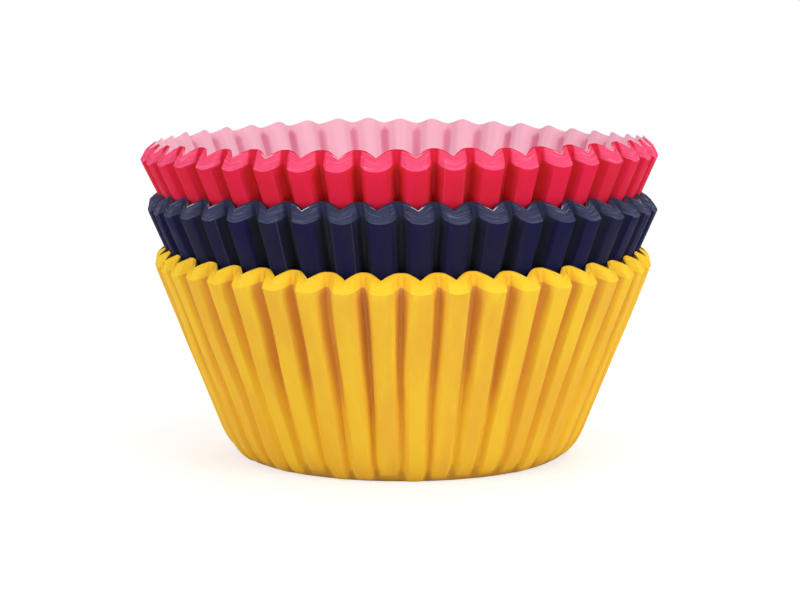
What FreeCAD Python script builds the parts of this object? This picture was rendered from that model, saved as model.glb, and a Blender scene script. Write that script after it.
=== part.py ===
import FreeCAD, Part
import math
import os

# A stack of pleated paper cupcake liners in three colours, standing on its base.
# Millimetres, +Z up, origin at the middle of the base on the table.
# An inward fold of the paper faces -Y, the front.

# The cup: a round of paper pleated over a flat base.
pleat_count = 44
base_radius = 24.8
ridge_length = 31.0
outer_pleat_depth = 1.4
inner_pleat_depth = 1.15
fold_rise = 0.95

# The toe: where an outward ridge turns in to the base.
toe_reach = 2.9
toe_height = 1.5
toe_share = 0.34

# Widths of the folds at the rim, as shares of one pleat.
outer_ridge_share = 0.55
outer_valley_share = 0.17
inner_ridge_share = 0.17
inner_valley_share = 0.52

# One colour is a tight nest of many liners, each a little higher than the one around it.
paper_thickness = 0.05
tier_wall = 0.75
tier_floor = 1.3
inner_base_step = 0.5
rim_rise = 2.1

# The three colours from the bottom up, with the radius of the widest rim of each.
yellow_rim_radius = 39.4
navy_rim_radius = 40.0
pink_rim_radius = 40.5
seat_gap = 0.08

pitch_angle = 2 * math.pi / pleat_count
toe_radius = base_radius + toe_reach


def rim_height(rim_radius):
    """Height of the outermost liner's ridges above its own base."""
    reach = rim_radius - toe_radius
    return toe_height + math.sqrt(ridge_length ** 2 - reach ** 2)


def ridge_outline(rim_radius):
    """Half of a colour's outermost outline: base, toe and ridge, as radius and height."""
    return [(0, 0), (base_radius, 0), (toe_radius, toe_height), (rim_radius, rim_height(rim_radius))]


def hollow_outline(rim_radius):
    """Half of the outline inside a colour: its floor and the inward folds of its wall."""
    fold_radius = rim_radius - tier_wall - inner_pleat_depth
    fold_height = rim_height(rim_radius) + rim_rise + fold_rise
    return [(0, tier_floor), (base_radius - inner_base_step, tier_floor), (fold_radius, fold_height)]


def height_on(outline, radius):
    """Heights at which an outline passes a radius."""
    heights = []
    for (start_radius, start_height), (end_radius, end_height) in zip(outline, outline[1:]):
        if start_radius < end_radius and start_radius <= radius <= end_radius:
            share = (radius - start_radius) / (end_radius - start_radius)
            heights.append(start_height + share * (end_height - start_height))
    return heights


def seated_base(lower_base, lower_radius, upper_radius):
    """Height at which the upper colour comes to rest in the hollow of the lower one."""
    ridges = ridge_outline(upper_radius)
    hollow = hollow_outline(lower_radius)
    lifts = []
    for radius, height in hollow:
        lifts.extend(height - passed for passed in height_on(ridges, radius - seat_gap))
    for radius, height in ridges:
        lifts.extend(passed - height for passed in height_on(hollow, radius + seat_gap))
    return lower_base + max(lifts)


def place(radius, angle, height):
    """A point at a distance from the axis, turned from the front about it."""
    return FreeCAD.Vector(radius * math.sin(angle), -radius * math.cos(angle), height)


class FoldSurface:
    """The folded surface at one depth through a colour's wall and floor."""

    def __init__(self, base_height, rim_radius, wall_depth, floor_depth, has_toes):
        self.base_height = base_height
        self.wall_depth = wall_depth
        self.floor_depth = floor_depth
        self.has_toes = has_toes
        share = wall_depth / tier_wall
        self.floor_height = base_height + floor_depth
        self.floor_radius = base_radius - share * inner_base_step
        self.ridge_radius = rim_radius - wall_depth
        self.ridge_height = base_height + rim_height(rim_radius) + share * rim_rise
        self.fold_depth = outer_pleat_depth + share * (inner_pleat_depth - outer_pleat_depth)
        ridge_share = outer_ridge_share + share * (inner_ridge_share - outer_ridge_share)
        valley_share = outer_valley_share + share * (inner_valley_share - outer_valley_share)
        self.ridge_half = ridge_share * pitch_angle / 2
        self.valley_half = valley_share * pitch_angle / 2
        self.toe_half = toe_share * pitch_angle / 2

    def floor_ridge(self, pleat):
        """Point of the base edge under the middle of a ridge."""
        return place(self.floor_radius, (pleat + 0.5) * pitch_angle, self.floor_height)

    def floor_valley(self, pleat):
        """Point of the base edge where an inward fold starts."""
        return place(self.floor_radius, pleat * pitch_angle, self.floor_height)

    def toe(self, pleat, side):
        """Corner of a ridge's toe, on the left (-1) or right (1)."""
        angle = (pleat + 0.5) * pitch_angle + side * self.toe_half
        height = self.base_height + toe_height + self.floor_depth
        return place(toe_radius - self.wall_depth, angle, height)

    def rim_ridge(self, pleat, side):
        """Corner of a ridge at the rim."""
        angle = (pleat + 0.5) * pitch_angle + side * self.ridge_half
        return place(self.ridge_radius, angle, self.ridge_height)

    def rim_valley(self, pleat, side):
        """Corner of an inward fold at the rim."""
        angle = pleat * pitch_angle + side * self.valley_half
        return place(self.ridge_radius - self.fold_depth, angle, self.ridge_height + fold_rise)

    def wall_facets(self):
        """The flat facets of the folded wall, from the base edge to the rim."""
        facets = []
        for pleat in range(pleat_count):
            foot = self.floor_ridge(pleat)
            facets.append([self.floor_valley(pleat), self.rim_valley(pleat, 1), self.rim_valley(pleat, -1)])
            if self.has_toes:
                toes = [self.toe(pleat, -1), self.toe(pleat, 1)]
                facets.append([foot, toes[1], toes[0]])
                facets.append([toes[0], toes[1], self.rim_ridge(pleat, 1), self.rim_ridge(pleat, -1)])
            else:
                facets.append([foot, self.rim_ridge(pleat, 1), self.rim_ridge(pleat, -1)])
            for side in (-1, 1):
                facets.extend(self.flank_facets(pleat, side))
        return facets

    def flank_facets(self, pleat, side):
        """The facets between a ridge and the inward fold on one side of it."""
        neighbour = pleat if side == -1 else pleat + 1
        foot = self.floor_ridge(pleat)
        valley_foot = self.floor_valley(neighbour)
        ridge_top = self.rim_ridge(pleat, side)
        valley_top = self.rim_valley(neighbour, -side)
        if not self.has_toes:
            return [[foot, ridge_top, valley_top], [foot, valley_top, valley_foot]]
        toe = self.toe(pleat, side)
        return [
            [foot, toe, valley_foot],
            [toe, valley_top, valley_foot],
            [toe, ridge_top, valley_top],
        ]

    def floor_facet(self):
        """The flat base, cornered where the folds meet its edge."""
        corners = []
        for pleat in range(pleat_count):
            corners.append(self.floor_valley(pleat))
            corners.append(self.floor_ridge(pleat))
        return corners


def rim_facets(outer, inner):
    """The cut edges between two folded surfaces, all the way round the rim."""
    facets = []
    for pleat in range(pleat_count):
        for corner in (FoldSurface.rim_ridge, FoldSurface.rim_valley):
            facets.append([corner(outer, pleat, -1), corner(outer, pleat, 1),
                           corner(inner, pleat, 1), corner(inner, pleat, -1)])
        for side, neighbour in ((-1, pleat), (1, pleat + 1)):
            outer_ridge = outer.rim_ridge(pleat, side)
            outer_valley = outer.rim_valley(neighbour, -side)
            inner_ridge = inner.rim_ridge(pleat, side)
            inner_valley = inner.rim_valley(neighbour, -side)
            facets.append([outer_ridge, outer_valley, inner_ridge])
            facets.append([outer_valley, inner_valley, inner_ridge])
    return facets


def flat_face(corners):
    """A flat face through its corners."""
    return Part.Face(Part.makePolygon(corners + corners[:1]))


def layer_between(outer, inner):
    """The closed solid between two folded surfaces."""
    facets = outer.wall_facets() + inner.wall_facets() + rim_facets(outer, inner)
    facets.append(outer.floor_facet())
    facets.append(inner.floor_facet())
    shell = Part.makeShell([flat_face(corners) for corners in facets])
    shell.sewShape()
    solid = Part.makeSolid(shell)
    if solid.Volume < 0:
        solid.reverse()
    return solid


def tier_layers(colour, base_height, rim_radius):
    """The outer liner, the liners nested in it and the inner liner of one colour."""
    def surface(wall_depth, floor_depth, has_toes):
        return FoldSurface(base_height, rim_radius, wall_depth, floor_depth, has_toes)

    outside = surface(0, 0, True)
    behind_outer = surface(paper_thickness, paper_thickness, True)
    before_inner = surface(tier_wall - paper_thickness, tier_floor - paper_thickness, False)
    inside = surface(tier_wall, tier_floor, False)
    return {
        colour + "_outer_liner": layer_between(outside, behind_outer),
        colour + "_nested_liners": layer_between(behind_outer, before_inner),
        colour + "_inner_liner": layer_between(before_inner, inside),
    }


navy_base = seated_base(0, yellow_rim_radius, navy_rim_radius)
pink_base = seated_base(navy_base, navy_rim_radius, pink_rim_radius)

liners = {}
liners.update(tier_layers("yellow", 0, yellow_rim_radius))
liners.update(tier_layers("navy", navy_base, navy_rim_radius))
liners.update(tier_layers("pink", pink_base, pink_rim_radius))

os.makedirs("parts", exist_ok=True)
for name, shape in liners.items():
    shape.exportStep("parts/" + name + ".step")
    print(name, shape.isValid(), len(shape.Solids), len(shape.Faces), round(shape.Volume, 2))
print("heights of the bases", round(navy_base, 3), round(pink_base, 3))
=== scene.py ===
import math

import bpy
import numpy as np
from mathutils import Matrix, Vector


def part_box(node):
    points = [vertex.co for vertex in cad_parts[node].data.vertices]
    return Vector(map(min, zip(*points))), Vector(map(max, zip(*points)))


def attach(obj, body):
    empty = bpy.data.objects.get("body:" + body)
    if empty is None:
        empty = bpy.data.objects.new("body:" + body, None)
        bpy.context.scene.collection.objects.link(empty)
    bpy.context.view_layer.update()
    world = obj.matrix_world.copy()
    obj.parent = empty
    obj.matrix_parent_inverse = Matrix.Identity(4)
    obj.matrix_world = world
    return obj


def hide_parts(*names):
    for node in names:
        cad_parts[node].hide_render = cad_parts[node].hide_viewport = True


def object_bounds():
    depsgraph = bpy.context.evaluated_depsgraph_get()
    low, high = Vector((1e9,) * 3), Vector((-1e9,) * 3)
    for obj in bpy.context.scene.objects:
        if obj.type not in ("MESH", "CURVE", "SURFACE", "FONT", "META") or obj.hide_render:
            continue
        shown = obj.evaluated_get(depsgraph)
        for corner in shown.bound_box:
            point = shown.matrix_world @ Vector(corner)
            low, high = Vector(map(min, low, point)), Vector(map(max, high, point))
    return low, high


# The stack of cupcake liners as the photograph shows it: three nests of pleated paper cups.
# Lengths are in metres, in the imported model's frame, and -Y is the front. A height up a wall
# runs from 0 at the base to 1 at the rim, and a depth through it from 0 outside to 1 inside.
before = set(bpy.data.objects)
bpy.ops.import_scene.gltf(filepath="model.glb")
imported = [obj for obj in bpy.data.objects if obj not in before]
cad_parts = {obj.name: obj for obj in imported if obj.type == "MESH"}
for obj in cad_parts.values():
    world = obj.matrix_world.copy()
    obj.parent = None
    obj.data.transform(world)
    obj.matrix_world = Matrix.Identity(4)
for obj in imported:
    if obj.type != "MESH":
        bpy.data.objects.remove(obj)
cad_low, cad_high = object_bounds()

MM = 0.001

# Sizes of a cup, as in the solids. The last is how far their folds stand above their ridges.
PLEATS = 44
PAPER = 0.05 * MM
BASE_RADIUS = 24.8 * MM
BASE_STEP = 0.5 * MM
TOE_RADIUS = 27.7 * MM
TOE_HEIGHT = 1.5 * MM
SOLID_FOLD_RISE = 0.95 * MM

# Depth of the folds at the rim. Outside they are 0.25 mm deeper than the solids'.
OUTER_FOLD_DEPTH = 1.65 * MM
INNER_FOLD_DEPTH = 1.15 * MM

# How finely the paper is meshed. A half pleat runs from a fold's middle (0) to a ridge's (1).
# The inner walls of the two covered colours have fewer rows. FLOOR_RINGS are shares of the
# floor's radius.
FOLD_TO_RIDGE = np.array([0, 0.09, 0.18, 0.28, 0.37, 0.42, 0.47, 0.53, 0.75])
RIDGE_TO_FOLD = np.append(0, 1 - FOLD_TO_RIDGE[:0:-1])
WALL_ROWS = 28
COVERED_ROWS = 12
NEST_ROWS = 10
ROW_GATHER = 1.4
FLOOR_RINGS = (0.25, 0.6, 0.93)
SHARP_ANGLE = math.radians(48)

# Across a half pleat, the folds' section: a wide ridge outside, and a wide inward fold inside.
FOLD_BOTTOM = 0.09
RIDGE_CORNER = 0.47
RIDGE_BULGE = 0.06
INNER_CORNER = 0.42
INNER_CURVE = 1.15
INNER_BULGE = 0.05
NEST_BLEND = 1.6

# How the cut edge comes down from a fold to a ridge, outside and inside, and the band's bevel.
# The powers of the height keep the rim's own shape from reaching far down the wall.
RIM_FOLD_ROUND = 0.06
RIM_FALL = 2.3
RIM_INNER_START = 0.12
RIM_INNER_FALL = 1.7
BEVEL_ROUND = 1.6
RIM_LEVELLING = 8
RIM_LIFT_POWER = 3

# Toes: the height where a ridge starts to bend in, and how near the table it bends. Each ridge
# has its own, between two limits.
TOE_END = (3.6 * MM, 6.2 * MM)
TOE_LOW = (0.0 * MM, 1.8 * MM)

# Hand-folded unevenness. The sways and the drift are in degrees, the spreads shares of a fold.
SHARED_SEED = 5
RIM_SWAY = 0.30
RIM_DRIFT = 0.10
WALL_SWAY = 0.30
WAVE_ORDERS = 4
WAVE_FADE = 0.7
DEPTH_SPREAD = 0.10
WIDTH_SPREAD = 0.03
DENT = 0.10 * MM
RIM_WAVE = 0.10 * MM
RIM_WAVE_KNOTS = 9
RIM_JITTER = 0.11 * MM

# The crumpled side: its direction and reach in radians, how much more uneven it is, and how
# much flatter its folds are low down.
WORN_SIDE = -1.10
WORN_REACH = 0.80
WORN_EXTRA = 1.6
FLATTENED = 0.60

# The share of their depth that the folds lose at the foot, and the height where that starts.
FOOT_OPENING = 0.60
FOOT_OPENING_TOP = 0.85

# At the back the folds are flatter and rounder. This sets in between two distances behind the
# axis, as shares of the radius. The inside's ridges there rise from a share of a half pleat on.
BACK_FOLDS = 0.70
BACK_REACH = (-0.1, 0.6)
BACK_RIDGE_START = 0.2

# The creases' painted shade. Outside, it sets in between two heights and is uneven. Inside, it
# evens out above one height and below another. On the cut edges it fades out across a half
# pleat, and reaches further inside.
CREASE_SHADE_HEIGHTS = (0.08, 0.92)
CREASE_SHADE_SPREAD = 3
INSIDE_RIM_FADE = 0.5
INSIDE_RIM_START = 0.95
INSIDE_FOOT_FADE = 0.6
INSIDE_FOOT_END = 0.3
RIM_CREASE_SHADE_START = 0.06
RIM_CREASE_SHADE_END = 0.34
RIM_CREASE_SHADE_WIDENING = 0.2

# Where the paper counts as turned under and takes painted shade: near a toe's low point, and
# higher in the folds.
UNDER_SHARE = 0.75
UNDER_IN_FOLDS = 1.0 * MM
UNDER_BELOW = 0.2 * MM
UNDER_ABOVE = 0.4 * MM

# Heights between which the painted highlights on the ridges' corners set in.
CORNER_HIGHLIGHT_HEIGHTS = (0.1, 0.5)

# How far the nest keeps from the liners beside it, as a depth: on the wall, and more at the
# toes. Then half its floor's thickness, as a depth too, and the height of its last hidden row.
NEST_MARGIN = 0.12
NEST_TOE_MARGIN = 0.25
NEST_TOE_POWER = 4
NEST_HALF_FLOOR = 0.1
NEST_TOP = 0.96

# The nest's cut edges. Each follows the one outside it in part, with its own jitter and swell.
# The first and the last are brought level with the liners beside them.
EDGE_COUNT = 21
EDGE_FOLLOWS = 0.4
EDGE_JITTER = 0.07 * MM
EDGE_JITTER_KNOTS = 70
EDGE_SWELL = 0.6 * EDGE_JITTER
EDGE_SWELL_KNOTS = 19
EDGE_LEVELLING = 0.5

# Their pale streaks, and the pale line (a painted highlight) and torn specks past two depths near
# the inner liner.
BRIGHT_POWER = 1.5
BREAK_STRENGTH = 0.6
BREAKS_PER_PLEAT = (4, 10)
BREAK_RAMP = (0.0, 0.7)
LINE_DEPTH = 0.9
LINE_STRENGTH = 0.35
LINE_SPREAD = 0.25
LINE_KNOTS_PER_PLEAT = 5
TORN_DEPTH = 0.84
TORN_STRENGTH = 1.6
TORN_RIDGE_START = 0.7
TORN_KNOTS_PER_PLEAT = 6
TORN_RAMP = (-0.3, 0.2)

FULL_TURN = 2 * math.pi
PITCH = FULL_TURN / PLEATS
SHARES = np.tile(np.stack([FOLD_TO_RIDGE, RIDGE_TO_FOLD]), (PLEATS, 1))
COLUMNS = SHARES.size
OUTWARD = np.tile(np.concatenate([FOLD_TO_RIDGE, 1 - RIDGE_TO_FOLD]), PLEATS)


def smooth_step(value, low=0.0, high=1.0):
    """A soft ramp from 0 at low to 1 at high."""
    value = np.clip((value - low) / (high - low), 0, 1)
    return value * value * (3 - 2 * value)


def soft_ramp(value):
    """A ramp from 0 to 1, three parts straight and one part soft."""
    return 0.75 * np.clip(value, 0, 1) + 0.25 * smooth_step(value)


def off_base(height):
    """A straight ramp from 0 at the base to 1 a quarter of the way up the wall."""
    return min(1, height * 4)


def periodic_noise(rng, knots):
    """Smooth noise round the cup, from about -1 to 1, with a value for each column."""
    values = rng.uniform(-1, 1, knots)
    place = np.arange(COLUMNS) * knots / COLUMNS
    left = np.floor(place).astype(int)
    share = smooth_step(place - left)
    return values[left % knots] * (1 - share) + values[(left + 1) % knots] * share


def per_ridge(rng, low, high):
    """A random value for each ridge, the same right across its pleat."""
    return np.repeat(rng.uniform(low, high, PLEATS), COLUMNS // PLEATS)


def per_column(lines, turn=0.0):
    """Values at the fold and ridge lines, blended along the columns between them.

    turn is what they gain once round the cup, which is a full turn for angles.
    """
    following = np.append(lines[1:], lines[0] + turn)
    return (lines[:, None] + SHARES * (following - lines)[:, None]).ravel()


def points_round(radius, angles, heights, shift=0.0):
    """Points at distances and angles about the axis, moved to the right by a shift."""
    heights = np.broadcast_to(heights, angles.shape)
    return np.stack([radius * np.sin(angles) + shift, -radius * np.cos(angles), heights], 1)


class Waves:
    """Random waves up the wall, one set for each line of the folds, still at the base and rim."""

    def __init__(self, rng, strength):
        self.sizes = rng.uniform(-1, 1, (WAVE_ORDERS, 2 * PLEATS)) * strength

    def at(self, height):
        """What the waves add to each line at a height."""
        orders = range(1, WAVE_ORDERS + 1)
        return sum(size * math.sin(order * math.pi * height) / order ** WAVE_FADE
                   for order, size in zip(orders, self.sizes))


class Tier:
    """One colour of the stack: its sizes from the frame, its lean and its unevenness.

    outer and inner say how the outside and the inside of its wall leave a true round at the
    rim: pushed to the right by the first length, and wider at the sides by the second.
    fold_rise is how much higher its inward folds' rim stands than its ridges'. rim_level and
    rim_waves say how the rim's height rises and falls round the cup. wear scales what is
    uneven up the wall.
    """

    def __init__(self, colour, seed, outer, inner, fold_rise, rim_level, rim_waves, wear):
        self.colour = colour
        self.outer, self.inner = outer, inner
        self.fold_rise = fold_rise
        self.rim_level, self.rim_waves = rim_level, rim_waves
        self.measure()
        self.rng = np.random.default_rng(seed)
        self.draw_unevenness(wear)

    def measure(self):
        """Takes the sizes of the wall, the floor and the rims from the solids' boxes."""
        colour = self.colour
        low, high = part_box(colour + "_outer_liner")
        inner_low, inner_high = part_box(colour + "_inner_liner")
        self.base = low.z
        self.rim_radius = high.x
        self.rim_height = high.z - SOLID_FOLD_RISE - low.z
        self.slope = (self.rim_radius - TOE_RADIUS) / (self.rim_height - TOE_HEIGHT)
        self.wall = high.x - inner_high.x + PAPER
        self.floor = inner_low.z - low.z + PAPER
        self.rim_rise = inner_high.z - high.z

    def draw_unevenness(self, wear):
        """Draws the random values, always in this order."""
        rng = self.rng
        self.rim_lines = self.line_angles()
        worn = self.worn_share()
        wear_here = wear * (1 + WORN_EXTRA * worn)
        self.sway = Waves(rng, np.radians(WALL_SWAY) * wear_here)
        self.dents = Waves(rng, DENT * wear_here)
        self.depths = Waves(rng, DEPTH_SPREAD * wear_here)
        self.widths = Waves(rng, WIDTH_SPREAD * wear_here)
        self.flattened = FLATTENED * wear * per_column(worn)
        self.back = per_column(smooth_step(-np.cos(self.rim_lines), *BACK_REACH))
        self.fold_size = 1 - (1 - BACK_FOLDS) * self.back
        self.toe_end = per_ridge(rng, *TOE_END)
        self.toe_low = per_ridge(rng, *TOE_LOW)
        self.rim_jitter = RIM_WAVE * periodic_noise(rng, RIM_WAVE_KNOTS)
        self.rim_jitter += RIM_JITTER * periodic_noise(rng, PLEATS)
        # Painted highlights along some ridges' corners.
        self.corner_highlight = per_ridge(rng, 0, 1) * np.isclose(OUTWARD, RIDGE_CORNER)

    def line_angles(self):
        """Angle of each fold and ridge at the rim, in turn, from the front."""
        shared = np.random.default_rng(SHARED_SEED).uniform(-1, 1, 2 * PLEATS)
        own = self.rng.uniform(-1, 1, 2 * PLEATS)
        return np.arange(2 * PLEATS) * PITCH / 2 + np.radians(RIM_SWAY * shared + RIM_DRIFT * own)

    def worn_share(self):
        """How near each line is to the more crumpled side, from 0 to 1."""
        away = np.abs((self.rim_lines - WORN_SIDE + math.pi) % FULL_TURN - math.pi)
        return 1 - smooth_step(away, 0, WORN_REACH)

    def angles(self, height):
        """Angle of each column at a height."""
        return per_column(self.rim_lines + self.sway.at(height), FULL_TURN)

    def fold_share(self, depth, height):
        """How far out the paper stands between the inward fold (0) and the ridge (1)."""
        corner = RIDGE_CORNER + per_column(self.widths.at(height))
        outer = soft_ramp((OUTWARD - FOLD_BOTTOM) / (corner - FOLD_BOTTOM))
        past = np.clip((OUTWARD - corner) / (1 - corner), 0, 1)
        outer = outer + RIDGE_BULGE * (1 - (1 - past) ** 2)
        inner = np.clip((OUTWARD - INNER_CORNER) / (1 - INNER_CORNER), 0, 1) ** INNER_CURVE
        inner = inner + self.back * (smooth_step(OUTWARD, BACK_RIDGE_START, 1.0) - inner)
        before = np.clip(OUTWARD / INNER_CORNER, 0, 1)
        inner = inner - INNER_BULGE * (1 - before ** 2)
        blend = depth ** NEST_BLEND
        return (1 - blend) * outer + blend * inner

    def rim_share(self, depth):
        """How far the cut edge has come down from an inward fold (0) to a ridge (1)."""
        rounded = OUTWARD ** 2 / (OUTWARD + RIM_FOLD_ROUND)
        outer = 1 - (1 - rounded) ** RIM_FALL
        inner = np.clip((OUTWARD - RIM_INNER_START) / (1 - RIM_INNER_START), 0, 1) ** RIM_INNER_FALL
        inner = inner + self.back * (smooth_step(OUTWARD) - inner)
        blend = depth ** NEST_BLEND
        return (1 - blend) * outer + blend * inner

    def ridge_line(self, height):
        """Radius and height of the ridges, which bend in to the base at their toes."""
        rise = self.rim_height * height
        share = np.clip(rise / self.toe_end, 0, 1)
        low_radius = self.rim_radius - self.slope * (self.rim_height - self.toe_low)
        end_radius = self.rim_radius - self.slope * (self.rim_height - self.toe_end)
        first, second, third = (1 - share) ** 2, 2 * share * (1 - share), share ** 2
        bent_radius = first * BASE_RADIUS + second * low_radius + third * end_radius
        bent_rise = second * self.toe_low + third * self.toe_end
        straight_radius = self.rim_radius - self.slope * (self.rim_height - rise)
        bent = share < 1
        return np.where(bent, bent_radius, straight_radius), np.where(bent, bent_rise, rise)

    def rim_lift(self, angles):
        """How far the rim stands above its even height, moved along the wall."""
        lift = self.rim_level + self.rim_jitter
        for order, (front, right) in enumerate(self.rim_waves, 1):
            lift = lift + front * np.cos(order * angles) + right * np.sin(order * angles)
        return lift

    def inward_share(self, depth, height):
        """How far in the paper lies between the ridges (0) and the folds (1)."""
        spread = 1 + per_column(self.depths.at(height))
        inward = (1 - self.fold_share(depth, height)) * spread
        inward = inward * (1 - self.flattened * (1 - height) * off_base(height))
        return inward * (1 - FOOT_OPENING * (1 - smooth_step(height, 0, FOOT_OPENING_TOP)))

    def ring(self, depth, height):
        """The closed line of the paper at a depth through the wall and a height up it."""
        angles = self.angles(height)
        ridge_radius, ridge_rise = self.ridge_line(height)
        fold_depth = OUTER_FOLD_DEPTH + depth * (INNER_FOLD_DEPTH - OUTER_FOLD_DEPTH)
        fold_depth = fold_depth * self.fold_size
        fold_radius = BASE_RADIUS + (self.rim_radius - fold_depth - BASE_RADIUS) * height
        own_rise = self.fold_rise * self.fold_size
        fold_rise = (self.rim_height + own_rise) * height
        inward = self.inward_share(depth, height)
        radius = ridge_radius - (ridge_radius - fold_radius) * inward
        rise = ridge_rise + (fold_rise - ridge_rise) * inward
        radius = radius - depth * (BASE_STEP + (self.wall - BASE_STEP) * off_base(height))
        radius = radius + per_column(self.dents.at(height))
        bevel = 1 - (1 - depth) ** BEVEL_ROUND
        rise = rise + depth * self.floor * (1 - height) + bevel * self.rim_rise * height
        lift = self.rim_lift(angles) * height ** RIM_LIFT_POWER
        levelling = 1 - self.rim_share(depth) - inward
        lift = lift + own_rise * levelling * height ** RIM_LEVELLING
        oval = (1 - depth) * self.outer[1] + depth * self.inner[1]
        radius = radius + self.slope * lift - oval * height * np.cos(2 * angles)
        shift = (1 - depth) * self.outer[0] + depth * self.inner[0]
        return points_round(radius, angles, self.base + rise + lift, shift * height)

    def floor_rings(self, depth):
        """Rings of the flat base from near its middle to its edge."""
        edge = BASE_RADIUS - depth * BASE_STEP
        height = self.base + depth * self.floor
        return [points_round(edge * share, self.angles(0), height) for share in FLOOR_RINGS]

    def crease_shade(self, depth, height):
        """The mark for the painted crease shade, from 0 on the ridges to 1 in the folds.

        Outside, it is less near the base and where worn. Seen from inside, the ridges are the
        grooves that take the painted shade, and it fades towards the rim and the floor.
        """
        deep_shade = np.clip(1 - self.fold_share(depth, height), 0, 1)
        if round(depth):
            at_rim = INSIDE_RIM_FADE * smooth_step(height, INSIDE_RIM_START, 1)
            at_foot = INSIDE_FOOT_FADE * (1 - smooth_step(height, 0, INSIDE_FOOT_END))
            return deep_shade + (at_rim + at_foot) * (1 - deep_shade)
        spread = 1 + CREASE_SHADE_SPREAD * per_column(self.depths.at(height))
        deep_shade = deep_shade * smooth_step(height, *CREASE_SHADE_HEIGHTS) * spread
        return deep_shade * (1 - self.flattened * (1 - height))

    def rim_crease_shade(self, depth):
        """The same painted crease shade for the cut edges, narrower outside and wider inside."""
        end = RIM_CREASE_SHADE_END + RIM_CREASE_SHADE_WIDENING * depth
        return 1 - smooth_step(OUTWARD, RIM_CREASE_SHADE_START, end)

    def under_shade_mask(self, height):
        """Painted shade: 1 where the paper has turned under at the toes, and 0 on the wall."""
        ridge_rise = self.ridge_line(height)[1]
        fold = np.clip(1 - self.fold_share(0, height), 0, 1)
        start = UNDER_SHARE * self.toe_low + UNDER_IN_FOLDS * fold
        return 1 - smooth_step(ridge_rise, start - UNDER_BELOW, start + UNDER_ABOVE)


def wall_heights(rows):
    """Heights of the rows up a wall, closer together at the toes."""
    return [(row / rows) ** ROW_GATHER for row in range(rows + 1)]


def ring_faces(count):
    """Faces between rings of points, with a fan to a middle point at each end."""
    column = np.arange(COLUMNS)
    following = (column + 1) % COLUMNS
    quads = []
    for row in range(count - 1):
        here, above = row * COLUMNS, (row + 1) * COLUMNS
        corners = [here + column, here + following, above + following, above + column]
        quads.append(np.stack(corners, 1))
    top = (count - 1) * COLUMNS
    first, last = count * COLUMNS, count * COLUMNS + 1
    bottom_fan = np.stack([np.full(COLUMNS, first), following, column], 1)
    top_fan = np.stack([np.full(COLUMNS, last), top + column, top + following], 1)
    return np.concatenate(quads).tolist() + bottom_fan.tolist() + top_fan.tolist()


def loft(name, rings, marks, bands):
    """A closed mesh through rings of points.

    marks are values for the materials, one for each point of each ring. bands are the material
    numbers of the strips between the rings.
    """
    middles = [rings[0].mean(0)[None], rings[-1].mean(0)[None]]
    points = np.concatenate([*rings, *middles])
    mesh = bpy.data.meshes.new(name)
    mesh.from_pydata(points.tolist(), [], ring_faces(len(rings)))
    for mark, values in marks.items():
        values = np.append(np.concatenate(values), [values[0][0], values[-1][0]])
        mesh.attributes.new(mark, "FLOAT", "POINT").data.foreach_set("value", values)
    bands = np.repeat(np.concatenate([bands, bands[[0, -1]]]), COLUMNS)
    mesh.polygons.foreach_set("material_index", bands)
    add_paper_map(mesh, rings)
    mesh.shade_smooth()
    mesh.set_sharp_from_angle(angle=SHARP_ANGLE)
    mesh.validate()
    piece = bpy.data.objects.new(name, mesh)
    bpy.context.scene.collection.objects.link(piece)
    return piece


def add_paper_map(mesh, rings):
    """Distances on the paper, in metres: round the cup, and along its profile."""
    pairs = zip(rings, rings[1:])
    steps = [np.linalg.norm(after - before, axis=1).mean() for before, after in pairs]
    along = np.cumsum([0] + steps)
    around = np.linspace(0, FULL_TURN * TOE_RADIUS, COLUMNS + 1)
    column = np.tile(np.arange(COLUMNS), len(rings) - 1)
    row = np.repeat(np.arange(len(rings) - 1), COLUMNS)
    corners = np.stack([
        np.stack([around[column], along[row]], 1),
        np.stack([around[column + 1], along[row]], 1),
        np.stack([around[column + 1], along[row + 1]], 1),
        np.stack([around[column], along[row + 1]], 1),
    ], 1).reshape(-1, 2)
    spare = len(mesh.loops) - len(corners)
    layer = mesh.uv_layers.new(name="paper")
    layer.data.foreach_set("uv", np.concatenate([corners.ravel(), np.zeros(spare * 2)]))


def sheet_piece(tier, name, depths, rows):
    """One liner: its outer face, its cut edge and its inner face, in materials 0, 1 and 2."""
    rings = []
    # Marks for painted light: shade in the folds and under the toes, highlights on ridge corners.
    marks = {"crease_shade": [], "under": [], "corner": []}
    heights = wall_heights(rows)
    on_floor = len(FLOOR_RINGS)
    for depth in depths:
        outside = float(depth == 0)
        face = tier.floor_rings(depth) + [tier.ring(depth, height) for height in heights]
        crease_shade = [np.full(COLUMNS, round(depth))] * on_floor
        crease_shade += [tier.crease_shade(depth, height) for height in heights]
        under = [np.full(COLUMNS, outside)] * on_floor
        under += [outside * tier.under_shade_mask(height) for height in heights]
        corner = [tier.corner_highlight * smooth_step(height, *CORNER_HIGHLIGHT_HEIGHTS)
                  for height in [0] * on_floor + heights]
        turn = 1 if depth == depths[0] else -1
        rings += face[::turn]
        marks["crease_shade"] += crease_shade[::turn]
        marks["under"] += under[::turn]
        marks["corner"] += corner[::turn]
    bands = np.zeros(len(rings) - 1, int)
    bands[len(rings) // 2 - 1] = 1
    bands[len(rings) // 2:] = 2
    return loft(name, rings, marks, bands)


def nest_margin(height):
    """How far the nest keeps from the liners beside it below the rim, wider at the toes."""
    return NEST_MARGIN + NEST_TOE_MARGIN * (1 - height) ** NEST_TOE_POWER


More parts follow.
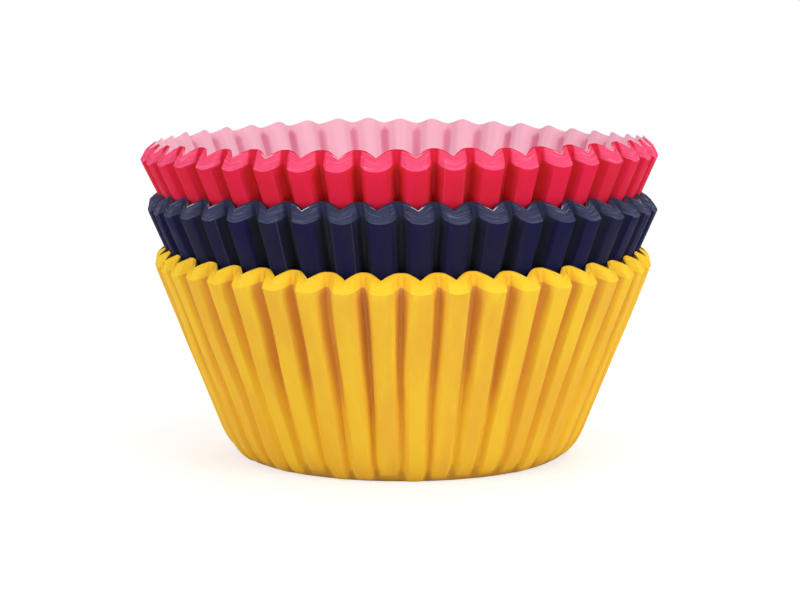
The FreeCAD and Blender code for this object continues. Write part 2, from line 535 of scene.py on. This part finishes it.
def edge_specks(rng):
    """Strength of the painted highlight on the inner cut edges, and of the ridges' torn specks."""
    line = LINE_STRENGTH + LINE_SPREAD * periodic_noise(rng, LINE_KNOTS_PER_PLEAT * PLEATS)
    torn = smooth_step(periodic_noise(rng, TORN_KNOTS_PER_PLEAT * PLEATS), *TORN_RAMP)
    return line, TORN_STRENGTH * (OUTWARD > TORN_RIDGE_START) * torn


def edge_streak(rng):
    """How pale one cut edge is along its length, broken up at random."""
    bright = rng.uniform(0, 1) ** BRIGHT_POWER
    broken = sum(BREAK_STRENGTH * periodic_noise(rng, knots * PLEATS) for knots in BREAKS_PER_PLEAT)
    return bright * smooth_step(broken, *BREAK_RAMP)


def nest_piece(tier, name, depths):
    """The liners pressed together, each with its own cut edge a little above the one outside it."""
    rng = tier.rng
    outer, inner = depths
    middle = (outer + inner) / 2
    hidden = wall_heights(NEST_ROWS)[:-1] + [NEST_TOP]
    rings = tier.floor_rings(middle - NEST_HALF_FLOOR)
    rings += [tier.ring(outer + nest_margin(height), height) for height in hidden]
    crease_shades = [np.ones(COLUMNS)] * len(rings)
    streaks = [np.zeros(COLUMNS)] * len(rings)
    edges = np.linspace(outer, inner, EDGE_COUNT + 1)
    line, torn = edge_specks(rng)
    lift = np.zeros(COLUMNS)
    for number in range(EDGE_COUNT):
        lift = EDGE_FOLLOWS * lift + EDGE_JITTER * periodic_noise(rng, EDGE_JITTER_KNOTS)
        lift = lift + EDGE_SWELL * periodic_noise(rng, EDGE_SWELL_KNOTS)
        streak = edge_streak(rng)
        fade = math.sin(math.pi * (number + 0.5) / EDGE_COUNT) ** EDGE_LEVELLING
        level = tier.ring(edges[number], 1)[:, 2] + lift * fade
        for depth in edges[number:number + 2]:
            ring = tier.ring(depth, 1)
            ring[:, 2] = level
            rings.append(ring)
            # Painted shade over the folds, which also dims the pale streaks there.
            crease_shade = tier.rim_crease_shade(depth)
            crease_shades.append(crease_shade)
            # A painted highlight along the innermost edges, and pale torn specks.
            light = line * (depth > LINE_DEPTH) + torn * (depth > TORN_DEPTH)
            streaks.append(streak * (1 - crease_shade) + light)
    rings += [tier.ring(inner - nest_margin(height), height) for height in hidden[::-1]]
    rings += tier.floor_rings(middle + NEST_HALF_FLOOR)[::-1]
    spare = len(rings) - len(crease_shades)
    crease_shades += [np.ones(COLUMNS)] * spare
    streaks += [np.zeros(COLUMNS)] * spare
    bands = np.zeros(len(rings) - 1, int)
    return loft(name, rings, {"crease_shade": crease_shades, "streak": streaks}, bands)


def srgb(red, green, blue):
    """A screen colour, each part from 0 to 255, as linear light."""
    def linear(part):
        part = part / 255
        return part / 12.92 if part <= 0.04045 else ((part + 0.055) / 1.055) ** 2.4
    return (linear(red), linear(green), linear(blue), 1)


def new_node(tree, kind, values=None):
    """A new node of a kind, with values for some of its inputs."""
    node = tree.nodes.new(kind)
    for name, value in (values or {}).items():
        node.inputs[name].default_value = value
    return node


class Nodes:
    """A material's node tree, with short calls for the nodes used here."""

    # The Mix node keeps its colours in these sockets.
    MIX_FIRST, MIX_SECOND, MIX_RESULT = 6, 7, 2

    def __init__(self, name):
        self.material = bpy.data.materials.new(name)
        self.material.use_nodes = True
        self.tree = self.material.node_tree
        self.shader = self.tree.nodes["Principled BSDF"]
        self.coordinates = new_node(self.tree, "ShaderNodeTexCoord")

    def link(self, source, target):
        self.tree.links.new(source, target)

    def stretched(self, source, scale):
        """Coordinates stretched by a scale for each axis."""
        mapping = new_node(self.tree, "ShaderNodeMapping", {"Scale": scale})
        self.link(source, mapping.inputs["Vector"])
        return mapping.outputs["Vector"]

    def noise(self, vector, scale, detail, roughness=0.55):
        values = {"Scale": scale, "Detail": detail, "Roughness": roughness}
        node = new_node(self.tree, "ShaderNodeTexNoise", values)
        self.link(vector, node.inputs["Vector"])
        return node.outputs["Fac"]

    def remap(self, value, ramp, to=(0.0, 1.0)):
        """A value brought from one range, through a soft ramp, to another."""
        values = {"From Min": ramp[0], "From Max": ramp[1], "To Min": to[0], "To Max": to[1]}
        node = new_node(self.tree, "ShaderNodeMapRange", values)
        node.interpolation_type = "SMOOTHSTEP"
        self.link(value, node.inputs["Value"])
        return node.outputs["Result"]

    def mix(self, factor, first, second):
        """Blends two colours, each a value or another node's output."""
        node = new_node(self.tree, "ShaderNodeMix")
        node.data_type = "RGBA"
        self.link(factor, node.inputs["Factor"])
        for number, colour in ((self.MIX_FIRST, first), (self.MIX_SECOND, second)):
            if isinstance(colour, tuple):
                node.inputs[number].default_value = colour
            else:
                self.link(colour, node.inputs[number])
        return node.outputs[self.MIX_RESULT]

    def mark(self, name):
        """A value that the mesh carries, such as how deep in a crease the paper lies."""
        node = new_node(self.tree, "ShaderNodeAttribute")
        node.attribute_name = name
        return node.outputs["Fac"]

    def add(self, first, second, amount):
        """The first value plus the second one's distance from a half, times an amount."""
        node = new_node(self.tree, "ShaderNodeMath", {1: amount})
        node.operation = "MULTIPLY_ADD"
        self.link(second, node.inputs[0])
        offset = new_node(self.tree, "ShaderNodeMath", {1: amount / 2})
        offset.operation = "SUBTRACT"
        self.link(first, offset.inputs[0])
        self.link(offset.outputs[0], node.inputs[2])
        return node.outputs[0]

    def bump(self, height, distance, strength, under=None):
        node = new_node(self.tree, "ShaderNodeBump", {"Distance": distance, "Strength": strength})
        self.link(height, node.inputs["Height"])
        if under is not None:
            self.link(under, node.inputs["Normal"])
        return node.outputs["Normal"]


# Where the painted crease shade sets in and deepens. Insides are darkest in the narrow outward
# folds, so their painted shade runs the other way.
OUTSIDE = {"crease_shade_at": (0.12, 0.52), "deep_shade_at": (0.70, 1.1)}
INSIDE = {"crease_shade_at": (0.05, 0.42), "deep_shade_at": (0.55, 1.0)}

# How raggedly the painted crease shade starts. The yellow paper is the most crumpled.
RAGGED = 0.16
VERY_RAGGED = 0.40
EDGE_RAGGED = 0.40

# How far the painted highlight on the ridges' corners brings a colour towards white.
HIGHLIGHT_LIFT = 0.05
# Painted shade under the toes, as a factor for each part of a colour.
PAINTED_UNDER_SHADE = (0.80, 0.80, 1.1, 1)


def highlighted(colour):
    """A colour lightened by a painted highlight along a fold's corner."""
    return tuple(part + HIGHLIGHT_LIFT * (1 - part) for part in colour)


def under_shaded(colour):
    """A colour darkened by painted shade on the underside of the cup."""
    return tuple(part * shade for part, shade in zip(colour, PAINTED_UNDER_SHADE))


def printed_paper(name, colours, ragged, crease_shade_at, deep_shade_at):
    """Thin waxy printed baking paper, mottled and fibrous, with painted shade and highlights."""
    colour, worn, crease_shade, deep_shade = (srgb(*parts) for parts in colours)
    nodes = Nodes(name)
    solid = nodes.coordinates.outputs["Object"]
    flat = nodes.coordinates.outputs["UV"]
    mottle = nodes.noise(solid, scale=230.0, detail=4.0)
    long = nodes.stretched(flat, (1.3, 0.12, 1.0))
    panels = nodes.noise(long, scale=420.0, detail=2.0, roughness=0.5)
    thin = nodes.stretched(flat, (9.0, 1.0, 1.0))
    fibres = nodes.noise(thin, scale=420.0, detail=3.0, roughness=0.6)
    grain = nodes.noise(solid, scale=5200.0, detail=2.0)
    tint = nodes.mix(nodes.remap(panels, (0.38, 0.62)), colour, worn)
    # Painted highlights along the ridges' corners.
    corner_highlight_mix = nodes.remap(nodes.mark("corner"), (0.15, 1.05), to=(0.0, 0.7))
    tint = nodes.mix(corner_highlight_mix, tint, highlighted(worn))
    # Painted shade: in the creases, deeper in them, and under the toes.
    depth = nodes.add(nodes.mark("crease_shade"), mottle, ragged)
    tint = nodes.mix(nodes.remap(depth, crease_shade_at), tint, crease_shade)
    tint = nodes.mix(nodes.remap(depth, deep_shade_at), tint, deep_shade)
    # Painted shade under the toes.
    tint = nodes.mix(nodes.mark("under"), tint, under_shaded(worn))
    nodes.link(tint, nodes.shader.inputs["Base Color"])
    waxy = nodes.remap(mottle, (0.3, 0.7), to=(0.5, 0.66))
    nodes.link(waxy, nodes.shader.inputs["Roughness"])
    nodes.shader.inputs["Specular IOR Level"].default_value = 0.03
    nodes.shader.inputs["Sheen Weight"].default_value = 0.004
    rough = nodes.bump(grain, distance=0.02 * MM, strength=0.5)
    rough = nodes.bump(fibres, distance=0.09 * MM, strength=0.55, under=rough)
    rough = nodes.bump(mottle, distance=0.5 * MM, strength=0.35, under=rough)
    nodes.link(rough, nodes.shader.inputs["Normal"])
    return nodes.material


def cut_edges(name, colours):
    """The rims' cut paper: painted shade over the folds, and pale uneven lines along the edges."""
    colour, fold_shade, streak, torn = (srgb(*parts) for parts in colours)
    nodes = Nodes(name)
    solid = nodes.coordinates.outputs["Object"]
    flat = nodes.coordinates.outputs["UV"]
    stretched = nodes.stretched(flat, (420.0, 3200.0, 1.0))
    lines = nodes.noise(stretched, scale=1.0, detail=3.0, roughness=0.65)
    patches = nodes.noise(solid, scale=420.0, detail=3.0)
    # Painted shade over the folds.
    depth = nodes.add(nodes.mark("crease_shade"), patches, EDGE_RAGGED)
    tint = nodes.mix(nodes.remap(lines, (0.52, 0.72), to=(0.0, 0.55)), colour, streak)
    tint = nodes.mix(nodes.remap(depth, (0.3, 0.8)), tint, fold_shade)
    # Pale streaks and the painted highlight along the inner edges, then torn specks.
    tint = nodes.mix(nodes.remap(nodes.mark("streak"), (0.0, 1.0), to=(0.0, 0.9)), tint, streak)
    tint = nodes.mix(nodes.remap(nodes.mark("streak"), (1.1, 1.8), to=(0.0, 0.8)), tint, torn)
    nodes.link(tint, nodes.shader.inputs["Base Color"])
    nodes.shader.inputs["Roughness"].default_value = 0.7
    nodes.shader.inputs["Specular IOR Level"].default_value = 0.1
    nodes.link(nodes.bump(lines, distance=0.06 * MM, strength=0.6), nodes.shader.inputs["Normal"])
    return nodes.material


# Screen colours. Paper and insides: plain, worn, and painted shade in the creases and deep in
# them. Cut edges: plain, painted shade over the folds, pale streaks and torn specks.
YELLOW_COLOURS = {
    "paper": ((248, 200, 57), (242, 186, 60), (232, 168, 72), (226, 158, 82)),
    "edges": ((255, 214, 56), (250, 200, 58), (255, 220, 84), (255, 226, 120)),
    "inside": ((226, 170, 70), (240, 200, 96), (252, 222, 122), (250, 230, 148)),
}
NAVY_COLOURS = {
    "paper": ((27, 28, 64), (34, 33, 58), (40, 42, 54), (50, 52, 62)),
    "edges": ((62, 66, 94), (42, 46, 72), (120, 128, 154), (226, 220, 222)),
    "inside": ((84, 90, 122), (110, 116, 146), (150, 156, 180), (166, 170, 192)),
}
PINK_COLOURS = {
    "paper": ((227, 36, 70), (221, 38, 62), (214, 44, 48), (206, 46, 46)),
    "edges": ((246, 84, 126), (220, 34, 62), (255, 136, 168), (246, 224, 226)),
    "inside": ((212, 120, 146), (220, 136, 160), (236, 178, 194), (238, 182, 198)),
}

# Seeds of each colour's own unevenness.
YELLOW_SEED = 11
NAVY_SEED = 12
PINK_SEED = 13

# How each colour leaves a true round in the photograph: pushed aside, oval and tilted at the rim.
YELLOW_FORM = {
    "outer": (0.0, -0.30 * MM),
    "inner": (-0.08 * MM, 0.22 * MM),
    "fold_rise": 1.02 * MM,
    "rim_level": -0.12 * MM,
    "rim_waves": ((-0.32 * MM, -0.09 * MM), (-0.10 * MM, 0.02 * MM), (0.10 * MM, 0.04 * MM)),
    "wear": 1.0,
}
NAVY_FORM = {
    "outer": (-0.10 * MM, 0.26 * MM),
    "inner": (-0.62 * MM, 0.34 * MM),
    "fold_rise": 1.15 * MM,
    "rim_level": -0.43 * MM,
    "rim_waves": ((0.64 * MM, 0.04 * MM), (0.19 * MM, 0.07 * MM), (0.09 * MM, 0.03 * MM)),
    "wear": 0.35,
}
PINK_FORM = {
    "outer": (-0.80 * MM, 0.42 * MM),
    "inner": (-0.80 * MM, 0.42 * MM),
    "fold_rise": 1.15 * MM,
    "rim_level": -0.37 * MM,
    "rim_waves": ((-0.51 * MM, 0.25 * MM), (0.54 * MM, 0.17 * MM), (-0.09 * MM, -0.06 * MM)),
    "wear": 0.35,
}


def dress(piece, colour, node, materials):
    """Gives a piece its materials and puts it in the place of its solid."""
    for material in materials:
        piece.data.materials.append(material)
    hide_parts(colour + node)
    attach(piece, "root")


def build_tier(tier, colours, ragged, inner_rows):
    """The three pieces of one colour, in their materials."""
    colour = tier.colour
    paper = printed_paper(colour + "_paper", colours["paper"], ragged, **OUTSIDE)
    edges = cut_edges(colour + "_edges", colours["edges"])
    inside = printed_paper(colour + "_inside", colours["inside"], RAGGED, **INSIDE)
    thin = PAPER / tier.wall
    outer = sheet_piece(tier, colour + "_outer_paper", (0, thin), WALL_ROWS)
    dress(outer, colour, "_outer_liner", [paper, edges, paper])
    nest = nest_piece(tier, colour + "_nested_papers", (thin, 1 - thin))
    dress(nest, colour, "_nested_liners", [edges])
    inner = sheet_piece(tier, colour + "_inner_paper", (1 - thin, 1), inner_rows)
    dress(inner, colour, "_inner_liner", [edges, edges, inside])


yellow = Tier("yellow", YELLOW_SEED, **YELLOW_FORM)
navy = Tier("navy", NAVY_SEED, **NAVY_FORM)
pink = Tier("pink", PINK_SEED, **PINK_FORM)
build_tier(yellow, YELLOW_COLOURS, VERY_RAGGED, COVERED_ROWS)
build_tier(navy, NAVY_COLOURS, RAGGED, COVERED_ROWS)
build_tier(pink, PINK_COLOURS, RAGGED, WALL_ROWS)


# The camera, fitted to the photograph's rims, pleats and base line. Angles are in radians.
CAMERA_DISTANCE = 361.6 * MM
CAMERA_HEIGHT = 69.7 * MM
CAMERA_PITCH = 0.125
CAMERA_PAN = 0.0014
CAMERA_TURN = math.radians(0.44)
CAMERA_NEAR = 0.01
FOCAL_PIXELS = 2288
PHOTO_WIDTH = 800
SENSOR = 36.0

camera_data = bpy.data.cameras.new("camera")
camera_data.sensor_width = SENSOR
camera_data.lens = FOCAL_PIXELS / PHOTO_WIDTH * SENSOR
camera_data.clip_start = CAMERA_NEAR
camera = bpy.data.objects.new("camera", camera_data)
camera.location = (
    CAMERA_DISTANCE * math.sin(CAMERA_TURN),
    -CAMERA_DISTANCE * math.cos(CAMERA_TURN),
    CAMERA_HEIGHT,
)
camera.rotation_euler = (math.pi / 2 - CAMERA_PITCH, 0, CAMERA_TURN + CAMERA_PAN)
bpy.context.scene.collection.objects.link(camera)
bpy.context.scene.camera = camera


# The floor's half width, its colour as a reflector, and its colour and glow as the camera sees
# them. It turns to plain white between two distances from the axis.
FLOOR_HALF = 4.0
FLOOR_COLOUR = (0.80, 0.80, 0.80, 1)
FLOOR_SHADOW_COLOUR = (0.46, 0.46, 0.46, 1)
FLOOR_GLOW = 0.66
FLOOR_SHADOW_REACH = (0.10, 0.24)

# Studio lamps, each a soft square: name, place and power. The world fills in from all round.
WORLD_STRENGTH = 0.40
LAMP_SIZE = 0.60
LAMPS = (
    ("right", (0.80, -0.70, 0.45), 5.4),
    ("left", (-0.80, -0.70, 0.45), 4.5),
    ("top", (0.10, -0.15, 0.95), 2.5),
    ("back", (0.20, 0.95, 0.45), 4.0),
)


def larger(tree, first, second):
    """The larger of two values."""
    node = new_node(tree, "ShaderNodeMath")
    node.operation = "MAXIMUM"
    tree.links.new(first, node.inputs[0])
    tree.links.new(second, node.inputs[1])
    return node.outputs[0]


def seen_directly(tree):
    """1 where the camera, a mirror reflection or a see-through surface looks at it."""
    path = new_node(tree, "ShaderNodeLightPath")
    either = larger(tree, path.outputs["Is Camera Ray"], path.outputs["Is Glossy Ray"])
    return larger(tree, either, path.outputs["Is Transmission Ray"])


def mix_shaders(tree, factor, first, second):
    """The first shader where the factor is 0, and the second where it is 1."""
    node = new_node(tree, "ShaderNodeMixShader")
    tree.links.new(factor, node.inputs[0])
    tree.links.new(first, node.inputs[1])
    tree.links.new(second, node.inputs[2])
    return node.outputs[0]


def white_floor():
    """A pale floor that keeps the object's soft shadow and turns to the photo's white around it."""
    half = FLOOR_HALF
    corners = [(-half, -half, 0), (half, -half, 0), (half, half, 0), (-half, half, 0)]
    mesh = bpy.data.meshes.new("floor")
    mesh.from_pydata(corners, [], [(0, 1, 2, 3)])
    floor = bpy.data.objects.new("floor", mesh)
    bpy.context.scene.collection.objects.link(floor)
    nodes = Nodes("floor")
    tree = nodes.tree
    distance = new_node(tree, "ShaderNodeVectorMath")
    distance.operation = "LENGTH"
    nodes.link(nodes.coordinates.outputs["Object"], distance.inputs[0])
    around = nodes.remap(distance.outputs["Value"], FLOOR_SHADOW_REACH)
    lit = new_node(tree, "ShaderNodeBsdfDiffuse", {"Color": FLOOR_COLOUR})
    shadowed = new_node(tree, "ShaderNodeBsdfDiffuse", {"Color": FLOOR_SHADOW_COLOUR})
    glow = new_node(tree, "ShaderNodeEmission", {"Strength": FLOOR_GLOW})
    near = new_node(tree, "ShaderNodeAddShader")
    nodes.link(shadowed.outputs[0], near.inputs[0])
    nodes.link(glow.outputs[0], near.inputs[1])
    white = new_node(tree, "ShaderNodeEmission")
    seen = mix_shaders(tree, around, near.outputs[0], white.outputs[0])
    surface = mix_shaders(tree, seen_directly(tree), lit.outputs[0], seen)
    nodes.link(surface, tree.nodes["Material Output"].inputs["Surface"])
    tree.nodes.remove(nodes.shader)
    mesh.materials.append(nodes.material)
    return floor


def white_world(strength):
    """Even light from all round, seen as plain white."""
    world = bpy.data.worlds.new("studio")
    world.use_nodes = True
    tree = world.node_tree
    tree.nodes.clear()
    white = (1, 1, 1, 1)
    light = new_node(tree, "ShaderNodeBackground", {"Color": white, "Strength": strength})
    seen = new_node(tree, "ShaderNodeBackground", {"Color": white, "Strength": 1.0})
    surface = mix_shaders(tree, seen_directly(tree), light.outputs[0], seen.outputs[0])
    output = new_node(tree, "ShaderNodeOutputWorld")
    tree.links.new(surface, output.inputs["Surface"])
    bpy.context.scene.world = world


def soft_light(name, place, size, power):
    """A square studio lamp aimed at the middle of the stack."""
    data = bpy.data.lights.new(name, "AREA")
    data.shape = "SQUARE"
    data.size = size
    data.energy = power
    light = bpy.data.objects.new(name, data)
    light.location = place
    aim = (cad_low + cad_high) / 2 - light.location
    light.rotation_euler = aim.to_track_quat("-Z", "Y").to_euler()
    bpy.context.scene.collection.objects.link(light)


white_floor()
white_world(WORLD_STRENGTH)
for lamp_name, lamp_place, lamp_power in LAMPS:
    soft_light(lamp_name, lamp_place, LAMP_SIZE, lamp_power)

bpy.context.scene.view_settings.view_transform = "Standard"
